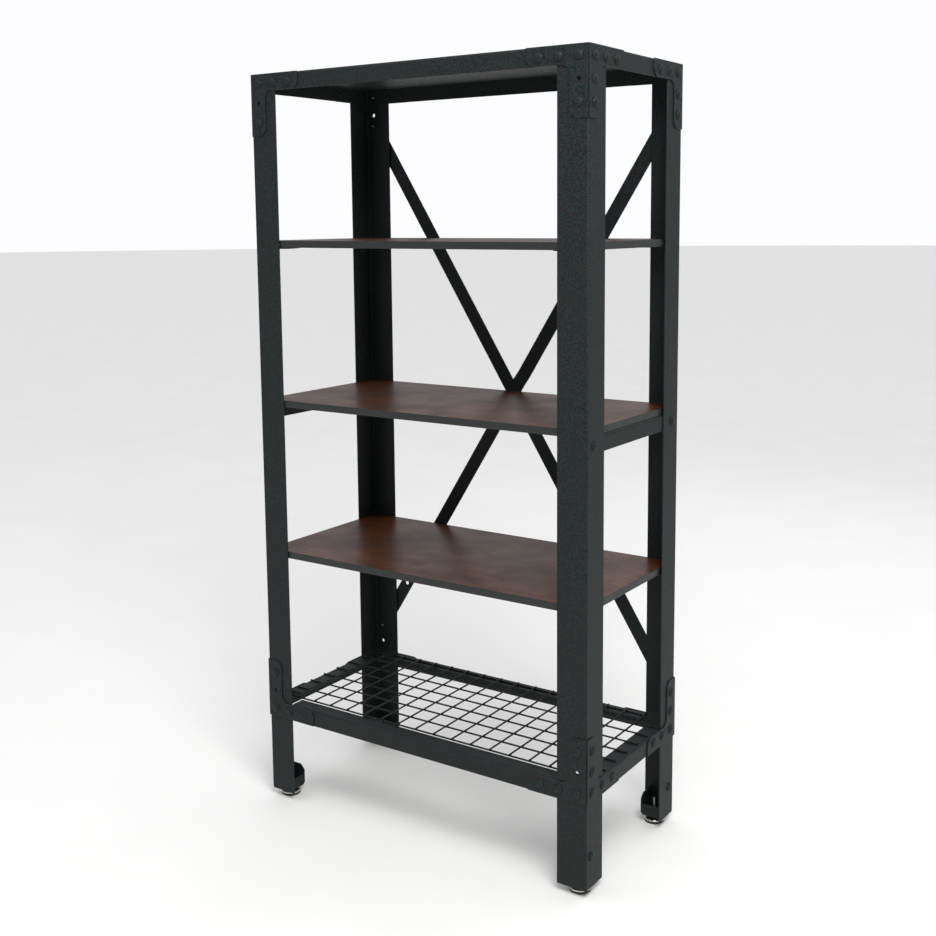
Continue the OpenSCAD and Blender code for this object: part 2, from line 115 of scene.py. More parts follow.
def makePowderCoat(name, dark, light, smoother):
    paint = powderCoat
    material, tree, shader, place = startMaterial(name, **{"Specular IOR Level": paint["specular"]})
    grain = addNode(tree, "ShaderNodeTexNoise",
                    {"Scale": perMetre(paint["grainMm"]), "Detail": 3.0}, {"Vector": place})
    fleck = addNode(tree, "ShaderNodeTexNoise",
                    {"Scale": perMetre(paint["fleckMm"]), "Detail": 4.0}, {"Vector": place})
    cloud = addNode(tree, "ShaderNodeTexNoise",
                    {"Scale": perMetre(paint["cloudMm"]), "Detail": 2.0}, {"Vector": place})
    hue = addNode(tree, "ShaderNodeMapRange", {"From Min": 0.4, "From Max": 0.6},
                  {"Value": fleck.outputs[0]})
    tint = addNode(tree, "ShaderNodeMix",
                   {mixFirst: linear(paint["teal"]), mixSecond: linear(paint["rust"])},
                   {"Factor": hue.outputs[0]}, data_type="RGBA")
    tone = addNode(tree, "ShaderNodeMapRange", {"From Min": 0.35, "From Max": 0.65},
                   {"Value": grain.outputs[0]})
    body = addNode(tree, "ShaderNodeMix", {mixFirst: linear(dark), mixSecond: linear(light)},
                   {"Factor": tone.outputs[0]}, data_type="RGBA")
    blotch = addNode(tree, "ShaderNodeMapRange",
                     {"From Min": 0.3, "From Max": 0.7, "To Min": 0.2, "To Max": 0.6},
                     {"Value": cloud.outputs[0]})
    colour = addNode(tree, "ShaderNodeMix", links={
        "Factor": blotch.outputs[0], mixFirst: body.outputs[mixResult],
        mixSecond: tint.outputs[mixResult]}, data_type="RGBA")
    rough = addNode(tree, "ShaderNodeMapRange", {
        "From Min": 0.3, "From Max": 0.7, "To Min": paint["roughLow"] - smoother,
        "To Max": paint["roughHigh"] - smoother}, {"Value": grain.outputs[0]})
    bump = addNode(tree, "ShaderNodeBump", {"Strength": 1.0, "Distance": paint["bumpMm"] * mm},
                   {"Height": grain.outputs[0]})
    tree.links.new(colour.outputs[mixResult], shader.inputs["Base Color"])
    tree.links.new(rough.outputs[0], shader.inputs["Roughness"])
    tree.links.new(bump.outputs[0], shader.inputs["Normal"])
    return material


# Walnut foil under satin lacquer on particle board: long soft grain, reddish clouds of
# stain and a smooth skin that mirrors softly at a low angle. The pores are drawn 1.8 mm
# wide, because real ones of 0.2 mm are too fine to show.
walnutFoil = {
    "dark": "#170a04", "middle": "#3c1d0c", "light": "#5a3216", "stain": "#260f06",
    "grainLengthMm": 210, "grainWidthMm": 7, "poreLengthMm": 26, "poreWidthMm": 1.8,
    "stainMm": 95, "bumpMm": 0.05, "roughLow": 0.32, "roughHigh": 0.44, "specular": 0.32,
    "lacquer": 0.08, "lacquerRough": 0.25,
}


def makeWalnutFoil():
    foil = walnutFoil
    material, tree, shader, place = startMaterial("satinWalnutFoil", **{
        "Specular IOR Level": foil["specular"], "Coat Weight": foil["lacquer"],
        "Coat Roughness": foil["lacquerRough"]})
    acrossGrain, acrossPore = perMetre(foil["grainWidthMm"]), perMetre(foil["poreWidthMm"])
    grainPlace = addNode(tree, "ShaderNodeMapping", {
        "Scale": (perMetre(foil["grainLengthMm"]), acrossGrain, acrossGrain)}, {"Vector": place})
    porePlace = addNode(tree, "ShaderNodeMapping", {
        "Scale": (perMetre(foil["poreLengthMm"]), acrossPore, acrossPore)}, {"Vector": place})
    grain = addNode(tree, "ShaderNodeTexNoise", {"Scale": 1.0, "Detail": 6.0, "Distortion": 0.6},
                    {"Vector": grainPlace.outputs[0]})
    pores = addNode(tree, "ShaderNodeTexNoise", {"Scale": 1.0, "Detail": 3.0},
                    {"Vector": porePlace.outputs[0]})
    stain = addNode(tree, "ShaderNodeTexNoise",
                    {"Scale": perMetre(foil["stainMm"]), "Detail": 3.0}, {"Vector": place})
    streak = addNode(tree, "ShaderNodeMapRange", {"From Min": 0.35, "From Max": 0.65},
                     {"Value": grain.outputs[0]})
    body = addNode(tree, "ShaderNodeMix",
                   {mixFirst: linear(foil["middle"]), mixSecond: linear(foil["light"])},
                   {"Factor": streak.outputs[0]}, data_type="RGBA")
    pit = addNode(tree, "ShaderNodeMapRange", {"From Min": 0.55, "From Max": 0.72, "To Max": 0.6},
                  {"Value": pores.outputs[0]})
    pored = addNode(tree, "ShaderNodeMix", {mixSecond: linear(foil["dark"])},
                    {"Factor": pit.outputs[0], mixFirst: body.outputs[mixResult]}, data_type="RGBA")
    cloud = addNode(tree, "ShaderNodeMapRange", {"From Min": 0.35, "From Max": 0.65, "To Max": 0.7},
                    {"Value": stain.outputs[0]})
    colour = addNode(tree, "ShaderNodeMix", {mixSecond: linear(foil["stain"])},
                     {"Factor": cloud.outputs[0], mixFirst: pored.outputs[mixResult]}, data_type="RGBA")
    rough = addNode(tree, "ShaderNodeMapRange", {
        "From Min": 0.3, "From Max": 0.7, "To Min": foil["roughLow"], "To Max": foil["roughHigh"]},
        {"Value": stain.outputs[0]})
    bump = addNode(tree, "ShaderNodeBump", {"Strength": 0.5, "Distance": foil["bumpMm"] * mm},
                   {"Height": pores.outputs[0]})
    tree.links.new(colour.outputs[mixResult], shader.inputs["Base Color"])
    tree.links.new(rough.outputs[0], shader.inputs["Roughness"])
    tree.links.new(bump.outputs[0], shader.inputs["Normal"])
    return material


# Finishes that are one colour with a fine unevenness: the noise shifts the roughness and
# lifts the surface a little
plainFinishes = {
    # ABS edging, extruded and glued on: dull black with faint drawn waves
    "blackAbsEdging": {"dark": "#121415", "light": "#1d2021", "spotMm": 5, "bumpMm": 0.05,
                       "rough": (0.42, 0.56), "metal": 0.0},
    # Moulded nylon of the foot pads: matt, with the spark-eroded texture of its mould. It is
    # drawn at 1.5 mm, because the real 0.2 mm is too fine to show.
    "mouldedBlackNylon": {"dark": "#0d0e0f", "light": "#17191a", "spotMm": 1.5, "bumpMm": 0.06,
                          "rough": (0.5, 0.68), "metal": 0.0},
    # Bright nickel plate on pressed steel: warm white metal with soft handling marks
    "brightNickelPlate": {"dark": "#b3aea4", "light": "#d6d2c9", "spotMm": 6, "bumpMm": 0.01,
                          "rough": (0.16, 0.32), "metal": 1.0},
    # Zinc plate on bolt ends and nuts: greyer and duller than the nickel
    "dullZincPlate": {"dark": "#8d9092", "light": "#b4b7b8", "spotMm": 2.5, "bumpMm": 0.02,
                      "rough": (0.3, 0.5), "metal": 1.0},
    # Painted studio floor, pale and almost even
    "paleStudioFloor": {"dark": "#e9e9e7", "light": "#eeeeec", "spotMm": 300, "bumpMm": 0.0,
                        "rough": (0.6, 0.7), "metal": 0.0},
}


def makePlainFinish(name):
    finish = plainFinishes[name]
    smoothest, roughest = finish["rough"]
    material, tree, shader, place = startMaterial(name, Metallic=finish["metal"])
    spots = addNode(tree, "ShaderNodeTexNoise",
                    {"Scale": perMetre(finish["spotMm"]), "Detail": 3.0}, {"Vector": place})
    colour = addNode(tree, "ShaderNodeMix",
                     {mixFirst: linear(finish["dark"]), mixSecond: linear(finish["light"])},
                     {"Factor": spots.outputs[0]}, data_type="RGBA")
    rough = addNode(tree, "ShaderNodeMapRange", {
        "From Min": 0.3, "From Max": 0.7, "To Min": smoothest, "To Max": roughest},
        {"Value": spots.outputs[0]})
    tree.links.new(colour.outputs[mixResult], shader.inputs["Base Color"])
    tree.links.new(rough.outputs[0], shader.inputs["Roughness"])
    if finish["bumpMm"]:
        bump = addNode(tree, "ShaderNodeBump", {"Strength": 0.6, "Distance": finish["bumpMm"] * mm},
                       {"Height": spots.outputs[0]})
        tree.links.new(bump.outputs[0], shader.inputs["Normal"])
    return material


coat = makePowderCoat("texturedPowderCoat", powderCoat["dark"], powderCoat["light"], 0)
# Rubbed a little thinner and smoother along every cut edge
rubbedCoat = makePowderCoat("rubbedPowderCoatEdge", powderCoat["rubbedDark"], powderCoat["rubbedLight"],
                            powderCoat["rubbedSmoother"])
walnut = makeWalnutFoil()
edging = makePlainFinish("blackAbsEdging")
nylon = makePlainFinish("mouldedBlackNylon")
nickel = makePlainFinish("brightNickelPlate")
zinc = makePlainFinish("dullZincPlate")
floorPaint = makePlainFinish("paleStudioFloor")
print("materials made")


# node is the CAD node that the piece stands for. A further piece of the same part has no node and
# names its body instead.
def addPiece(name, mesh, node=None, body="root", materials=()):
    for material in materials:
        mesh.materials.append(material)
    piece = bpy.data.objects.new(name, mesh)
    bpy.context.scene.collection.objects.link(piece)
    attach(piece, bodyOf[node] if node else body)
    if node:
        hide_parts(node)
    return piece


def meshFrom(bm, name):
    mesh = bpy.data.meshes.new(name)
    bm.to_mesh(mesh)
    bm.free()
    return mesh


def camelName(node):
    words = node.split("_")
    return words[0] + "".join(word.capitalize() for word in words[1:])


def roundEdges(bm, edges, radius, segments, material):
    if not edges:
        return
    made = bmesh.ops.bevel(bm, geom=edges, offset=radius, offset_type="OFFSET", segments=segments,
                           profile=0.5, affect="EDGES", clamp_overlap=False, material=material,
                           loop_slide=True)
    for face in made["faces"]:
        face.smooth = True


# How the triangles of a CAD node are merged, and which edges are rounded how finely
edgeRules = {"mergeMm": 0.002, "flatDegrees": 0.5, "onPlaneMm": 0.01, "sharpDegrees": 50,
             "outerSegments": 5, "innerSegments": 4, "cutSegments": 2}


# The edges that lie on all the planes, given as axis and coordinate
def edgesOnPlanes(bm, planes):
    gap = edgeRules["onPlaneMm"] * mm
    return [edge for edge in bm.edges
            if all(abs(v.co[axis] - at) < gap for v in edge.verts for axis, at in planes)]


# A steel piece from its CAD node's shape, with its bend and its cut edges rounded
def steelPiece(node, cutMm, bend=None, materials=None):
    bm = bmesh.new()
    bm.from_mesh(frame["nodes"][node].data)
    bmesh.ops.remove_doubles(bm, verts=bm.verts, dist=edgeRules["mergeMm"] * mm)
    bmesh.ops.dissolve_limit(bm, angle_limit=math.radians(edgeRules["flatDegrees"]),
                             verts=bm.verts, edges=bm.edges)
    for face in bm.faces:
        face.smooth = False
        face.material_index = 0
    if bend:
        low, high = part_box(node)
        outer = [(axis, high[axis] if side > 0 else low[axis]) for axis, side in bend["corner"]]
        inner = [(axis, at - side * bend["sheetMm"] * mm)
                 for (axis, at), (_, side) in zip(outer, bend["corner"])]
        roundEdges(bm, edgesOnPlanes(bm, outer), bend["outerMm"] * mm, edgeRules["outerSegments"], -1)
        roundEdges(bm, edgesOnPlanes(bm, inner), bend["innerMm"] * mm, edgeRules["innerSegments"], -1)
    sharp = [edge for edge in bm.edges if len(edge.link_faces) == 2 and edge.is_convex
             and edge.calc_face_angle(0) > math.radians(edgeRules["sharpDegrees"])]
    roundEdges(bm, sharp, cutMm * mm, edgeRules["cutSegments"], 1)
    name = camelName(node)
    return addPiece(name, meshFrom(bm, name), node, materials=materials or (coat, rubbedCoat))


# A Geometry Nodes tree begins with its named inputs, and ends realized and with its material
def startTree(name, inputs):
    tree = bpy.data.node_groups.new(name, "GeometryNodeTree")
    tree.interface.new_socket("Geometry", in_out="OUTPUT", socket_type="NodeSocketGeometry")
    tree.interface.new_socket("Geometry", in_out="INPUT", socket_type="NodeSocketGeometry")
    for label, kind in inputs:
        tree.interface.new_socket(label, in_out="INPUT", socket_type=kind)
    source = addNode(tree, "NodeGroupInput")
    return tree, source


def endTree(tree, source, geometry):
    whole = addNode(tree, "GeometryNodeRealizeInstances", links={0: geometry})
    smooth = addNode(tree, "GeometryNodeSetShadeSmooth", links={0: whole.outputs[0]})
    painted = addNode(tree, "GeometryNodeSetMaterial",
                      links={0: smooth.outputs[0], "Material": source.outputs["Material"]})
    addNode(tree, "NodeGroupOutput", links={0: painted.outputs[0]})


# Runs a tree on a mesh and keeps the result as a plain mesh
def growMesh(tree, seedMesh, name, inputs):
    host = bpy.data.objects.new(name + "Host", seedMesh)
    bpy.context.scene.collection.objects.link(host)
    modifier = host.modifiers.new("grow", "NODES")
    modifier.node_group = tree
    for item in tree.interface.items_tree:
        if item.in_out == "INPUT" and item.name in inputs:
            modifier[item.identifier] = inputs[item.name]
    bpy.context.view_layer.update()
    grown = host.evaluated_get(bpy.context.evaluated_depsgraph_get())
    mesh = bpy.data.meshes.new_from_object(grown)
    host.modifiers.remove(modifier)
    bpy.data.objects.remove(host)
    mesh.name = name
    return mesh


# Domes on points: each point carries the direction that its dome faces. The lower half of
# a ball is pressed flat into the dome's base.
def makeDomeTree():
    tree, source = startTree("domesOnPoints", [
        ("Dome Radius", "NodeSocketFloat"), ("Dome Height", "NodeSocketFloat"),
        ("Size Spread", "NodeSocketFloat"), ("Segments", "NodeSocketInt"), ("Rings", "NodeSocketInt"),
        ("Seed", "NodeSocketInt"), ("Material", "NodeSocketMaterial")])
    ball = addNode(tree, "GeometryNodeMeshUVSphere", {"Radius": 1.0},
                   {"Segments": source.outputs["Segments"], "Rings": source.outputs["Rings"]})
    at = addNode(tree, "ShaderNodeSeparateXYZ",
                 links={0: addNode(tree, "GeometryNodeInputPosition").outputs[0]})
    above = addNode(tree, "ShaderNodeMath", {1: 0.0}, {0: at.outputs[2]}, operation="MAXIMUM")
    wide = [addNode(tree, "ShaderNodeMath", links={0: at.outputs[i], 1: source.outputs["Dome Radius"]},
                    operation="MULTIPLY").outputs[0] for i in (0, 1)]
    high = addNode(tree, "ShaderNodeMath", links={0: above.outputs[0], 1: source.outputs["Dome Height"]},
                   operation="MULTIPLY")
    pressed = addNode(tree, "ShaderNodeCombineXYZ", links={0: wide[0], 1: wide[1], 2: high.outputs[0]})
    dome = addNode(tree, "GeometryNodeSetPosition",
                   links={"Geometry": ball.outputs[0], "Position": pressed.outputs[0]})
    facing = addNode(tree, "GeometryNodeInputNamedAttribute", {"Name": "facing"},
                     data_type="FLOAT_VECTOR")
    turned = addNode(tree, "FunctionNodeAlignRotationToVector",
                     links={"Vector": facing.outputs[0]}, axis="Z")
    smallest = addNode(tree, "ShaderNodeMath", {0: 1.0}, {1: source.outputs["Size Spread"]},
                       operation="SUBTRACT")
    size = addNode(tree, "FunctionNodeRandomValue", {3: 1.0},
                   {2: smallest.outputs[0], "Seed": source.outputs["Seed"]}, data_type="FLOAT")
    placed = addNode(tree, "GeometryNodeInstanceOnPoints", links={
        "Points": source.outputs["Geometry"], "Instance": dome.outputs[0],
        "Rotation": turned.outputs[0], "Scale": size.outputs[1]})
    endTree(tree, source, placed.outputs[0])
    return tree


# Sides of the round wires and threads
roundSides = {"wire": 16, "threadTurn": 16, "ridge": 5, "core": 20}


# Straight wires in a row: the first one's middle, the step to the next and half a wire
def makeWireTree():
    tree, source = startTree("wireRow", [
        ("Wires", "NodeSocketInt"), ("First", "NodeSocketVector"), ("Step", "NodeSocketVector"),
        ("Half Wire", "NodeSocketVector"), ("Wire Radius", "NodeSocketFloat"),
        ("Material", "NodeSocketMaterial")])
    row = addNode(tree, "GeometryNodeMeshLine", links={
        "Count": source.outputs["Wires"], "Start Location": source.outputs["First"],
        "Offset": source.outputs["Step"]})
    other = addNode(tree, "ShaderNodeVectorMath", {"Scale": -1.0}, {0: source.outputs["Half Wire"]},
                    operation="SCALE")
    line = addNode(tree, "GeometryNodeCurvePrimitiveLine", links={
        "Start": other.outputs[0], "End": source.outputs["Half Wire"]})
    ring = addNode(tree, "GeometryNodeCurvePrimitiveCircle", {"Resolution": roundSides["wire"]},
                   {"Radius": source.outputs["Wire Radius"]})
    wire = addNode(tree, "GeometryNodeCurveToMesh", {"Fill Caps": True},
                   {"Curve": line.outputs[0], "Profile Curve": ring.outputs[0]})
    placed = addNode(tree, "GeometryNodeInstanceOnPoints",
                     links={"Points": row.outputs[0], "Instance": wire.outputs[0]})
    endTree(tree, source, placed.outputs[0])
    return tree


# A thread as a ridge that winds round a core
def makeThreadTree():
    tree, source = startTree("threadedStud", [
        ("Turns", "NodeSocketFloat"), ("Length", "NodeSocketFloat"), ("Core Radius", "NodeSocketFloat"),
        ("Ridge Radius", "NodeSocketFloat"), ("Material", "NodeSocketMaterial")])
    helix = addNode(tree, "GeometryNodeCurveSpiral", {"Resolution": roundSides["threadTurn"]}, {
        "Rotations": source.outputs["Turns"], "Start Radius": source.outputs["Core Radius"],
        "End Radius": source.outputs["Core Radius"], "Height": source.outputs["Length"]})
    ridge = addNode(tree, "GeometryNodeCurvePrimitiveCircle", {"Resolution": roundSides["ridge"]},
                    {"Radius": source.outputs["Ridge Radius"]})
    wound = addNode(tree, "GeometryNodeCurveToMesh", {"Fill Caps": True},
                    {"Curve": helix.outputs[0], "Profile Curve": ridge.outputs[0]})
    core = addNode(tree, "GeometryNodeMeshCylinder", {"Vertices": roundSides["core"]},
                   {"Radius": source.outputs["Core Radius"], "Depth": source.outputs["Length"]})
    half = addNode(tree, "ShaderNodeMath", {1: 0.5}, {0: source.outputs["Length"]}, operation="MULTIPLY")
    lift = addNode(tree, "ShaderNodeCombineXYZ", links={2: half.outputs[0]})
    raised = addNode(tree, "GeometryNodeTransform",
                     links={"Geometry": core.outputs[0], "Translation": lift.outputs[0]})
    both = addNode(tree, "GeometryNodeJoinGeometry")
    for part in (wound, raised):
        tree.links.new(part.outputs[0], both.inputs[0])
    endTree(tree, source, both.outputs[0])
    return tree


domeTree = makeDomeTree()
wireTree = makeWireTree()
threadTree = makeThreadTree()


# points is a list of (place, facing); shape gives the domes' faces and how far their sizes vary
def addDomes(name, points, radiusMm, heightMm, shape, seed, material, node=None):
    cloud = bpy.data.meshes.new(name + "Points")
    cloud.from_pydata([place for place, _ in points], [], [])
    facing = cloud.attributes.new("facing", "FLOAT_VECTOR", "POINT")
    facing.data.foreach_set("vector", [value for _, way in points for value in way])
    mesh = growMesh(domeTree, cloud, name, {
        "Dome Radius": radiusMm * mm, "Dome Height": heightMm * mm, "Size Spread": shape["sizeSpread"],
        "Segments": shape["segments"], "Rings": shape["rings"], "Seed": seed, "Material": material})
    return addPiece(name, mesh, node)


# Posts and rails are angle section, with the bend in one corner
postShape = {"sheetMm": 3, "outerMm": 3.0, "innerMm": 2.0, "cutMm": 0.5}
railShape = {"sheetMm": 3, "outerMm": 5.5, "innerMm": 2.5, "cutMm": 0.5}


def bendOf(shape, corner):
    return {"corner": corner, "sheetMm": shape["sheetMm"], "outerMm": shape["outerMm"],
            "innerMm": shape["innerMm"]}


for end, endSign in ends.items():
    for side, sideSign in sides.items():
        steelPiece(f"post_{end}_{side}", postShape["cutMm"],
                   bendOf(postShape, [(0, sideSign), (1, endSign)]))
for level in ("top", "bottom"):
    for end, endSign in ends.items():
        steelPiece(f"{level}_rail_{end}", railShape["cutMm"], bendOf(railShape, [(1, endSign), (2, 1)]))
    for side, sideSign in sides.items():
        steelPiece(f"{level}_rail_{side}", railShape["cutMm"],
                   bendOf(railShape, [(0, sideSign), (2, 1)]))
for side, sideSign in sides.items():
    steelPiece(f"middle_shelf_rail_{side}", railShape["cutMm"],
               bendOf(railShape, [(0, sideSign), (2, 1)]))
print("posts and rails made")


# Punched and sheared sheet: how far its cut edges are rounded
sheetCuts = {"panelMm": 0.3, "plateMm": 0.6, "braceMm": 0.6, "clipMm": 0.4, "bracketMm": 0.5}
steelPiece("top_panel", sheetCuts["panelMm"])
levels = ("top", "bottom")
plates = [f"{level}_plate_{end}_{side}" for level in levels for end in ends for side in sides]
plates += [f"{level}_plate_{side}_{end}" for level in levels for side in sides for end in ends]
for plate in plates:
    steelPiece(plate, sheetCuts["plateMm"])
for brace in ("cross_brace_straight", "cross_brace_cranked"):
    steelPiece(brace, sheetCuts["braceMm"])
for shelf in ("upper", "lower"):
    for end in ends:
        for side in sides:
            steelPiece(f"{shelf}_clip_{end}_{side}", sheetCuts["clipMm"])
for end in ends:
    for side in sides:
        steelPiece(f"foot_bracket_{end}_{side}", sheetCuts["bracketMm"])
print("top panel, corner plates, braces, clips and brackets made")


# Rivets: domed heads outside, a painted collar and a pin end inside. stackMm is the steel that
# a rivet holds together, and braceMm the second bar at the braces' ends.
rivet = {
    "insetMm": 21, "pitchMm": 44.5, "columns": 3, "stackMm": 6, "braceMm": 3, "postBandMm": 60,
    "headRadiusMm": 10.5, "headHeightMm": 5, "boltHeadHeightMm": 2,
    "collarRadiusMm": 6, "collarHeightMm": 1.6, "pinRadiusMm": 3.1, "pinHeightMm": 2.5,
    "segments": 24, "rings": 14, "sizeSpread": 0.02, "plateSeeds": {"top": 10, "bottom": 20},
}


# The rivets of one corner plate, as places on its outer face, and the way they face
def plateRivets(plate):
    level, face = plate.split("_plate_")
    low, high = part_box(plate)
    facesAlongY = face.startswith(("front", "rear"))
    out, along = (1, 0) if facesAlongY else (0, 1)
    outSign = 1 if high[out] > 0 else -1
    alongSign = 1 if high[along] > -low[along] else -1
    farEdge = high[along] if alongSign > 0 else low[along]
    levelEdge, upSign = (high.z, -1) if level == "top" else (low.z, 1)
    inset = rivet["insetMm"] * mm
    steps = [inset + i * rivet["pitchMm"] * mm for i in range(rivet["columns"])]
    spots = [(step, inset) for step in steps]
    if not facesAlongY:
        spots.append((inset, steps[1]))
    if not face.startswith("rear"):
        spots.append((inset, steps[2]))
    facing = Vector((0, 0, 0))
    facing[out] = outSign
    made = []
    for a, b in spots:
        place = Vector((0, 0, levelEdge + upSign * b))
        place[out] = high[out] if outSign > 0 else low[out]
        place[along] = farEdge - alongSign * a
        made.append((place, facing))
    return made


# Pin ends are painted over, apart from those that come through the rear posts from behind
def addRivets(name, node, points, stackMm, headHeightMm, seed):
    addDomes(name + "Heads", points, rivet["headRadiusMm"], headHeightMm, rivet, seed, coat,
             node)
    inner = [(place - facing * stackMm * mm, -facing) for place, facing in points]
    addDomes(name + "Collars", inner, rivet["collarRadiusMm"], rivet["collarHeightMm"], rivet,
             seed + 1, coat)
    postX = cadBox[1].x - rivet["postBandMm"] * mm
    bare, painted = [], []
    for place, facing in inner:
        isBare = facing.y < 0 and abs(place.x) > postX
        (bare if isBare else painted).append((place, facing))
    for kind, chosen, material, slot in (("BarePinEnds", bare, zinc, "bright_steel"),
                                         ("PaintedPinEnds", painted, coat, "hammered_paint")):
        if chosen:
            addDomes(name + kind, chosen, rivet["pinRadiusMm"], rivet["pinHeightMm"], rivet,
                     seed + 2, material)


# The four fasteners of a group node, from the node's own box
def sideFasteners(node):
    low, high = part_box(node)
    headX = high.x - rivet["headHeightMm"] * mm
    y = high.y - rivet["headRadiusMm"] * mm
    z = (low.z + high.z) / 2
    return [(Vector((sideSign * headX, endSign * y, z)), Vector((sideSign, 0, 0)))
            for sideSign in sides.values() for endSign in ends.values()]


for level in ("top", "bottom"):
    points = [point for plate in plates if plate.startswith(level) for point in plateRivets(plate)]
    addRivets(f"{level}PlateRivet", f"{level}_plate_rivets", points, rivet["stackMm"],
              rivet["headHeightMm"], rivet["plateSeeds"][level])
addRivets("middleRailBolt", "middle_shelf_rail_bolts", sideFasteners("middle_shelf_rail_bolts"),
          rivet["stackMm"], rivet["headHeightMm"], 30)
addRivets("footBracketRivet", "foot_bracket_rivets", sideFasteners("foot_bracket_rivets"),
          rivet["stackMm"], rivet["headHeightMm"], 40)

low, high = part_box("cross_brace_bolts")
headRadius = rivet["headRadiusMm"] * mm
boltX, boltY = high.x - headRadius, high.y - rivet["boltHeadHeightMm"] * mm
boltLow, boltHigh = low.z + headRadius, high.z - headRadius
backward = Vector((0, 1, 0))
endBolts = [(Vector((sign * boltX, boltY, z)), backward)
            for sign in sides.values() for z in (boltLow, boltHigh)]
middleBolt = (Vector((0, boltY, (boltLow + boltHigh) / 2)), backward)
addRivets("braceEndBolt", "cross_brace_bolts", endBolts, rivet["stackMm"] + rivet["braceMm"],
          rivet["boltHeadHeightMm"], 50)
addRivets("braceMiddleBolt", None, [middleBolt], rivet["stackMm"], rivet["boltHeadHeightMm"], 60)
print("rivets and bolts made")


# Wire shelf: two layers of wire, with a flattened weld wherever they cross
wireShelf = {"diameterMm": 4, "pitchMm": 50.8, "weldRadiusMm": 3.0, "weldHeightMm": 1.3,
             "segments": 8, "rings": 5, "sizeSpread": 0.25}
wireRadius = wireShelf["diameterMm"] * mm / 2
pitch = wireShelf["pitchMm"] * mm
longLow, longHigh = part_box("wire_shelf_long_wires")
crossLow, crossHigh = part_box("wire_shelf_cross_wires")
longWires = round((longHigh.y - longLow.y - 2 * wireRadius) / pitch) + 1
crossWires = round((crossHigh.x - crossLow.x - 2 * wireRadius) / pitch) + 1


def addWires(name, node, wires, low, high, rowAxis):
    middle = (low + high) / 2
    first = middle.copy()
    first[rowAxis] = low[rowAxis] + wireRadius
    half = Vector((0, 0, 0))
    half[1 - rowAxis] = (high[1 - rowAxis] - low[1 - rowAxis]) / 2
    step = Vector((0, 0, 0))
    step[rowAxis] = pitch
    mesh = growMesh(wireTree, bpy.data.meshes.new(name + "Seed"), name, {
        "Wires": wires, "First": first, "Step": step, "Half Wire": half,
        "Wire Radius": wireRadius, "Material": coat})
    return addPiece(name, mesh, node)


addWires("longWires", "wire_shelf_long_wires", longWires, longLow, longHigh, 1)
addWires("crossWires", "wire_shelf_cross_wires", crossWires, crossLow, crossHigh, 0)
crossings = [
    Vector((crossLow.x + wireRadius + i * pitch, longLow.y + wireRadius + j * pitch, longHigh.z))
    for i in range(crossWires) for j in range(longWires)]
for label, sign, seed in (("Above", 1, 71), ("Below", -1, 69)):
    addDomes("wireWelds" + label, [(place, (0, 0, sign)) for place in crossings],
             wireShelf["weldRadiusMm"], wireShelf["weldHeightMm"], wireShelf, seed, coat)
print("wire shelf made,", longWires, "long and", crossWires, "cross wires")


# Shelf boards: a foiled core with a black edging strip all round
boardShape = {"edgingMm": 1.2, "cornerMm": 1.5, "edgingRoundMm": 0.8, "coreDropMm": 0.15,
              "cornerSegments": 4, "rimSegments": 3, "sharpDegrees": 60}


def boxCorners(low, high):
    return [(x, y, z) for z in (low[2], high[2]) for x, y in
            ((low[0], low[1]), (high[0], low[1]), (high[0], high[1]), (low[0], high[1]))]


# How far a point is inside the sides of a box
def insideBox(at, low, high):
    return min(at.x - low.x, high.x - at.x, at.y - low.y, high.y - at.y)


def addBoard(node, name):
    low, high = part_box(node)
    strip = boardShape["edgingMm"] * mm
    inset = Vector((strip, strip, boardShape["coreDropMm"] * mm))
    core = bmesh.new()
    verts = [core.verts.new(corner) for corner in boxCorners(low + inset, high - inset)]
    for face in ((3, 2, 1, 0), (4, 5, 6, 7), (0, 1, 5, 4), (1, 2, 6, 5), (2, 3, 7, 6), (3, 0, 4, 7)):
        core.faces.new([verts[i] for i in face])
    addPiece(name + "Board", meshFrom(core, name + "Board"), node,
             materials=(walnut,))

    ring = bmesh.new()
    flatInset = Vector((strip, strip, 0))
    outer = [ring.verts.new(corner) for corner in boxCorners(low, high)]
    inner = [ring.verts.new(corner) for corner in boxCorners(low + flatInset, high - flatInset)]
    for i in range(4):
        j = (i + 1) % 4
        ring.faces.new([outer[i], outer[j], outer[j + 4], outer[i + 4]])
        ring.faces.new([inner[j], inner[i], inner[i + 4], inner[j + 4]])
        ring.faces.new([outer[i + 4], outer[j + 4], inner[j + 4], inner[i + 4]])
        ring.faces.new([outer[j], outer[i], inner[i], inner[j]])
    corners = [edge for edge in ring.edges if all(v in outer for v in edge.verts)
               and abs(edge.verts[0].co.z - edge.verts[1].co.z) > mm]
    roundEdges(ring, corners, boardShape["cornerMm"] * mm, boardShape["cornerSegments"], -1)
    rims = [edge for edge in ring.edges
            if edge.is_convex and all(insideBox(v.co, low, high) < strip / 2 for v in edge.verts)
            and edge.calc_face_angle(0) > math.radians(boardShape["sharpDegrees"])]
    roundEdges(ring, rims, boardShape["edgingRoundMm"] * mm, boardShape["rimSegments"], -1)
    addPiece(name + "Edging", meshFrom(ring, name + "Edging"), body=bodyOf[node],
             materials=(edging,))


for shelf in ("upper", "middle", "lower"):
    addBoard(f"{shelf}_shelf", f"{shelf}Shelf")
print("boards made")


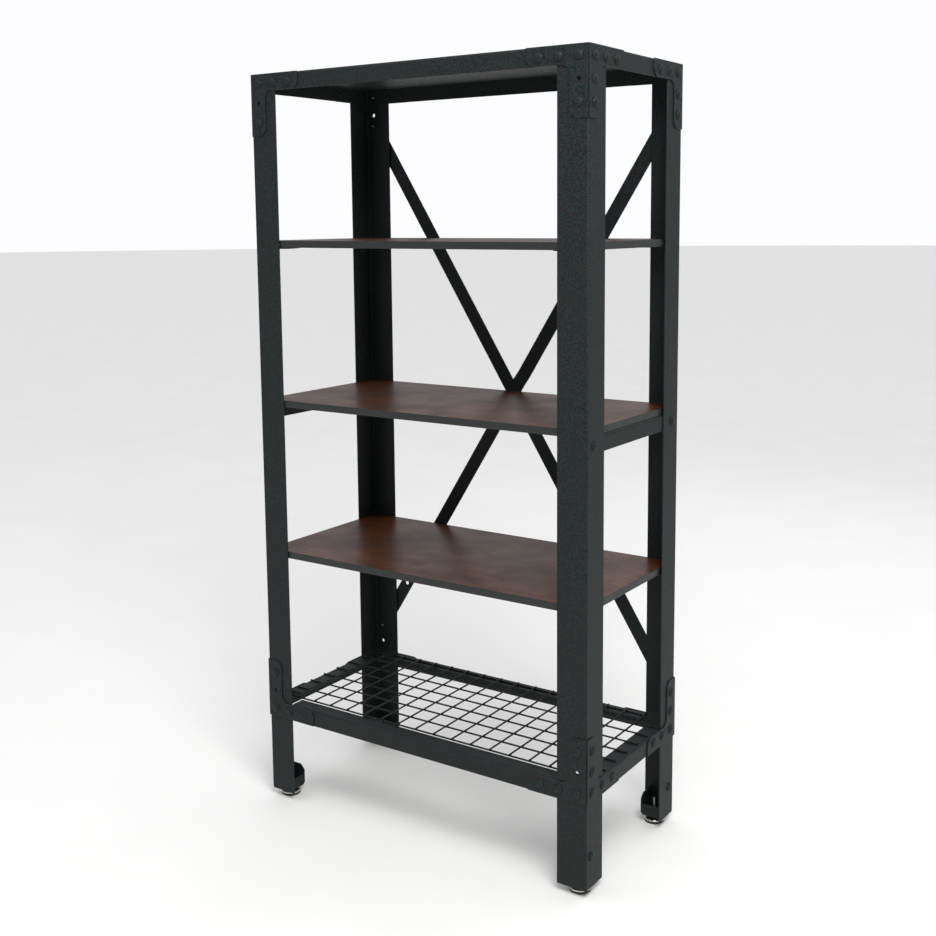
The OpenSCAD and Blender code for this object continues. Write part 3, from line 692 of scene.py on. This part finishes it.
# Levelling feet: a turned pad, a pressed cup and a threaded stud
foot = {
    "padMm": [(0, 0), (19.5, 0), (21.8, 0.5), (22.9, 1.6), (23.4, 3.2), (23.4, 5.0), (22.8, 6.0),
              (21.5, 6.4), (0, 6.4)],
    "cupMm": [(0, 6.0), (22.6, 6.0), (23.6, 6.3), (23.9, 7.0), (23.9, 8.6), (23.4, 9.6), (22.0, 10.4),
              (18.0, 11.8), (12.0, 12.7), (7.5, 13.0), (6.4, 12.6), (0, 12.6)],
    "studBaseMm": 12.4, "coreRadiusMm": 3.55, "ridgeRadiusMm": 0.42, "threadPitchMm": 1.25,
    "segments": 48, "nutCutMm": 0.5,
}


# A round piece turned about a vertical line through centre, from radii and heights
def turnedMesh(name, profileMm, centre):
    bm = bmesh.new()
    segments = foot["segments"]
    rings = []
    for radius, height in profileMm:
        angles = [math.tau * i / segments for i in range(segments)] if radius else [0]
        rings.append([bm.verts.new((centre.x + radius * mm * math.cos(angle),
                                    centre.y + radius * mm * math.sin(angle), centre.z + height * mm))
                      for angle in angles])
    for below, above in zip(rings, rings[1:]):
        for i in range(segments):
            j = (i + 1) % segments
            corners = [below[i % len(below)], below[j % len(below)],
                       above[j % len(above)], above[i % len(above)]]
            face = bm.faces.new(list(dict.fromkeys(corners)))
            face.smooth = True
    bmesh.ops.recalc_face_normals(bm, faces=bm.faces)
    return meshFrom(bm, name)


def addFoot(end, side):
    node = f"foot_{end}_{side}"
    name = camelName(node)
    low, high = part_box(node)
    centre = Vector(((low.x + high.x) / 2, (low.y + high.y) / 2, low.z))
    addPiece(name + "Pad", turnedMesh(name + "Pad", foot["padMm"], centre), node,
             materials=(nylon,))
    addPiece(name + "Cup", turnedMesh(name + "Cup", foot["cupMm"], centre),
             body=bodyOf[node], materials=(nickel,))
    length = high.z - low.z - (foot["studBaseMm"] + foot["ridgeRadiusMm"]) * mm
    stud = growMesh(threadTree, bpy.data.meshes.new(name + "Seed"), name + "Stud", {
        "Turns": length / (foot["threadPitchMm"] * mm), "Length": length,
        "Core Radius": foot["coreRadiusMm"] * mm, "Ridge Radius": foot["ridgeRadiusMm"] * mm,
        "Material": zinc})
    stud.transform(Matrix.Translation(centre + Vector((0, 0, foot["studBaseMm"] * mm))))
    addPiece(name + "Stud", stud, body=bodyOf[node])


for end in ends:
    for side in sides:
        addFoot(end, side)
steelPiece("foot_weld_nuts", foot["nutCutMm"], materials=(zinc, zinc))
print("feet made")


# The floor is wide enough to reach the horizon. The room's light grows from the horizon up, and
# its backdrop is seen evenly bright. Places and sizes are in metres, angles in degrees and
# powers in watts.
stage = {
    "floorRadius": 60.0, "floorSides": 64, "backgroundSeen": 1.0, "lightAtHorizon": 0.22,
    "lightOverhead": 1.3, "lightColour": "#fdfdff", "sensorMm": 36,
    "cameraPlace": (1.591, -2.3076, 1.4061), "turn": 33.679, "tilt": -7.231, "roll": -0.424,
    "lensMm": 47.05, "shift": (-0.0163, -0.1001),
}
lamps = {
    "keySoftbox": {"place": (1.7, -1.5, 2.95), "size": 1.3, "power": 72},
    "fillSoftbox": {"place": (-2.6, -2.6, 2.6), "size": 2.2, "power": 6},
    "backSoftbox": {"place": (0.4, 3.0, 2.6), "size": 2.6, "power": 12},
}

floorMesh = bmesh.new()
bmesh.ops.create_circle(floorMesh, cap_ends=True, radius=stage["floorRadius"],
                        segments=stage["floorSides"])
floor = bpy.data.objects.new("studioFloor", meshFrom(floorMesh, "studioFloor"))
floor.data.materials.append(floorPaint)
bpy.context.scene.collection.objects.link(floor)

world = bpy.data.worlds.new("studio")
world.use_nodes = True
room = world.node_tree
room.nodes.clear()
way = addNode(room, "ShaderNodeSeparateXYZ",
              links={0: addNode(room, "ShaderNodeTexCoord").outputs["Generated"]})
lightUpward = addNode(room, "ShaderNodeMapRange", {
    "To Min": stage["lightAtHorizon"], "To Max": stage["lightOverhead"]}, {"Value": way.outputs[2]})
ray = addNode(room, "ShaderNodeLightPath")
strength = addNode(room, "ShaderNodeMapRange", {"To Max": stage["backgroundSeen"]},
                   {"Value": ray.outputs["Is Camera Ray"], "To Min": lightUpward.outputs[0]})
glow = addNode(room, "ShaderNodeBackground", {"Color": linear(stage["lightColour"])},
               {"Strength": strength.outputs[0]})
addNode(room, "ShaderNodeOutputWorld", links={0: glow.outputs[0]})
bpy.context.scene.world = world

middle = Vector((0, 0, (cadBox[0][2] + cadBox[1][2]) / 2))
for name, lamp in lamps.items():
    light = bpy.data.lights.new(name, "AREA")
    light.energy = lamp["power"]
    light.size = lamp["size"]
    holder = bpy.data.objects.new(name, light)
    holder.location = lamp["place"]
    holder.rotation_euler = (middle - Vector(lamp["place"])).to_track_quat("-Z", "Y").to_euler()
    bpy.context.scene.collection.objects.link(holder)

camera = bpy.data.objects.new("camera", bpy.data.cameras.new("camera"))
camera.data.lens = stage["lensMm"]
camera.data.sensor_width = stage["sensorMm"]
camera.data.shift_x, camera.data.shift_y = stage["shift"]
turn = Euler((math.radians(90 + stage["tilt"]), 0, math.radians(stage["turn"]))).to_matrix()
camera.matrix_world = (Matrix.Translation(stage["cameraPlace"])
                       @ (turn @ Matrix.Rotation(math.radians(stage["roll"]), 3, "Z")).to_4x4())
bpy.context.scene.collection.objects.link(camera)
bpy.context.scene.camera = camera
bpy.context.scene.view_settings.view_transform = "Standard"
print("stage, light and camera set")
